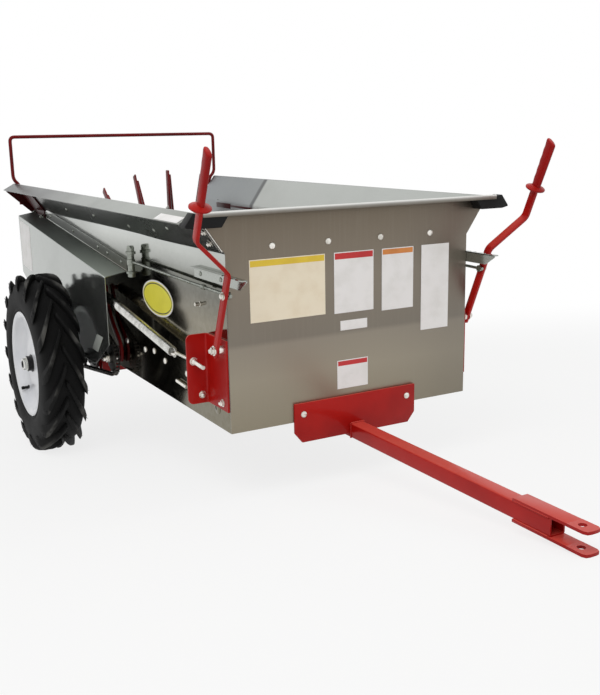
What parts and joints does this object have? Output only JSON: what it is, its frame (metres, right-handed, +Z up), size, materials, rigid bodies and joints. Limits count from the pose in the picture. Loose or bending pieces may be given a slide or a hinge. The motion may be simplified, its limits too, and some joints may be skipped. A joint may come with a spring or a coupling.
{
  "type": "manure spreader",
  "caption": "Small towed manure spreader: open galvanised box with a slatted floor chain, rear beater, drive chain guards, shift levers and a clevis tongue on lugged wheels.",
  "frame": {"origin": "centre of the bounding box at floor level; the spreader stands nose down on its two tyres and the tip of its tongue", "axes": "+X across, to the right seen from the front; +Y rearward; +Z up"},
  "size_m": [1.1652, 2.5502, 1.0794],
  "materials": {
    "galvanised": "shiny galvanised sheet",
    "red_paint": "gloss red paint",
    "black_steel": "black, slightly oily",
    "black_plastic": "satin",
    "tyre_rubber": "matt",
    "white_paint": "gloss white paint",
    "zinc": "bright zinc plating"
  },
  "bodies": {
    "frame": {"apron_chain": "black_steel", "apron_front_shaft": "black_steel", "apron_rear_shaft": "black_steel", "axle": "black_steel", "axle_bracket_left": "red_paint", "axle_bracket_right": "red_paint", "beater_sprocket": "black_steel", "box_side_left": "galvanised", "box_side_right": "galvanised", "chain_guard_left": "galvanised", "chain_guard_right": "galvanised", "corner_bracket_left": "red_paint", "corner_bracket_right": "red_paint", "corner_cap_left": "black_plastic", "corner_cap_right": "black_plastic", "drive_chain_left": "black_steel", "drive_chain_right": "black_steel", "floor": "galvanised", "floor_rail_left": "galvanised", "floor_rail_right": "galvanised", "front_panel": "galvanised", "hitch_plate": "red_paint", "idler_arm_left": "red_paint", "idler_arm_right": "red_paint", "idler_sprocket_left": "black_steel", "idler_sprocket_right": "black_steel", "notch_guide_left": "galvanised", "notch_guide_right": "galvanised", "rear_hoop": "red_paint", "rear_plate_left": "red_paint", "rear_plate_right": "red_paint", "tension_spring_left": "zinc", "tension_spring_right": "zinc", "tongue": "red_paint", "underframe": "red_paint"},
    "wheel_left": {"wheel_rim_left": "white_paint", "wheel_hub_left": "black_steel", "tyre_left": "tyre_rubber"},
    "lever_left": {"lever_left": "red_paint"},
    "control_rod_left": {"control_rod_left": "zinc"},
    "wheel_right": {"wheel_rim_right": "white_paint", "wheel_hub_right": "black_steel", "tyre_right": "tyre_rubber"},
    "lever_right": {"lever_right": "red_paint"},
    "control_rod_right": {"control_rod_right": "zinc"},
    "beater": {"beater": "red_paint"}
  },
  "joints": [
    {"name": "wheel_left_spin", "type": "hinge", "parent": "frame", "child": "wheel_left", "pos_m": [-0.514, 0.57118, 0.284], "axis": [1, 0, 0], "continuous": true},
    {"name": "wheel_right_spin", "type": "hinge", "parent": "frame", "child": "wheel_right", "pos_m": [0.514, 0.57118, 0.284], "axis": [1, 0, 0], "continuous": true},
    {"name": "beater_spin", "type": "hinge", "parent": "frame", "child": "beater", "pos_m": [0, 1.0677, 0.71601], "axis": [1, 0, 0], "continuous": true},
    {"name": "lever_left_swing", "type": "hinge", "parent": "frame", "child": "lever_left", "pos_m": [-0.368, -0.49296, 0.37262], "axis": [1, 0, 0], "range_deg": [-8.6, 7.4]},
    {"name": "control_rod_left_slide", "type": "slide", "parent": "frame", "child": "control_rod_left", "axis": [0, 0.992, 0.126], "range_m": [-0.01806, 0.02091]},
    {"name": "lever_right_swing", "type": "hinge", "parent": "frame", "child": "lever_right", "pos_m": [0.368, -0.49296, 0.37262], "axis": [1, 0, 0], "range_deg": [-8.6, 7.4]},
    {"name": "control_rod_right_slide", "type": "slide", "parent": "frame", "child": "control_rod_right", "axis": [0, 0.992, 0.126], "range_m": [-0.01806, 0.02091]}
  ],
  "couplings": [
    {"joint": "control_rod_left_slide", "follows": "lever_left_swing", "m_per_rad": -0.136},
    {"joint": "control_rod_right_slide", "follows": "lever_right_swing", "m_per_rad": -0.136}
  ]
}
